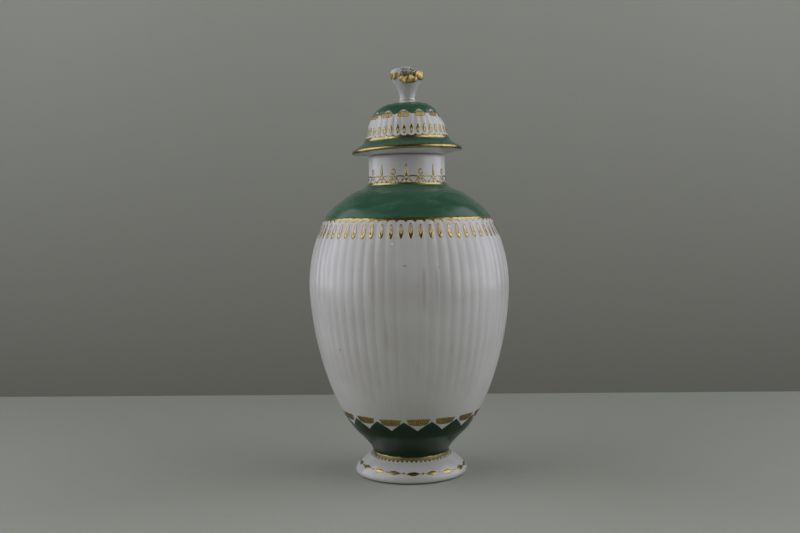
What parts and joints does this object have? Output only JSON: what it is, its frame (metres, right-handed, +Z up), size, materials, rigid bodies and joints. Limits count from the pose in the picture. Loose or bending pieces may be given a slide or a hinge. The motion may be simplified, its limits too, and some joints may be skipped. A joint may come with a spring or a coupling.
{
  "type": "tea canister",
  "caption": "Ovoid porcelain tea canister with convex reeding, short neck, spreading foot and a domed lift-off cover with a flower knob, green borders and gilding.",
  "frame": {"origin": "centre of the foot's standing ring, on the surface it stands on", "axes": "+Z up along the axis of the canister, -Y towards the front, +X to the right seen from the front"},
  "size_m": [0.0822, 0.0822, 0.1658],
  "materials": {
    "painted_body": "clear glaze on white porcelain, with green enamel and gilding fired on",
    "gilt_edged_porcelain": "clear glaze on white porcelain, with gilding fired on",
    "painted_cover": "green enamel and gilding fired on white glazed porcelain",
    "plain_porcelain": "clear glaze on white porcelain",
    "gilded_petals": "honey gilding over glazed porcelain",
    "stippled_heart": "porcelain with fine stippling under the glaze"
  },
  "bodies": {
    "canister": {"canister_body": "painted_body", "pedestal_foot": "gilt_edged_porcelain"},
    "lid": {"cover": "painted_cover", "locating_flange": "plain_porcelain", "knob_stem": "plain_porcelain", "outer_petal_1": "gilded_petals", "outer_petal_2": "gilded_petals", "outer_petal_3": "gilded_petals", "outer_petal_4": "gilded_petals", "outer_petal_5": "gilded_petals", "outer_petal_6": "gilded_petals", "inner_petal_1": "plain_porcelain", "inner_petal_2": "plain_porcelain", "inner_petal_3": "plain_porcelain", "inner_petal_4": "plain_porcelain", "inner_petal_5": "plain_porcelain", "flower_heart": "stippled_heart"}
  },
  "joints": [
    {"name": "cover_lift", "type": "slide", "parent": "canister", "child": "lid", "axis": [0, 0, 1], "range_m": [0, 0.06]}
  ]
}
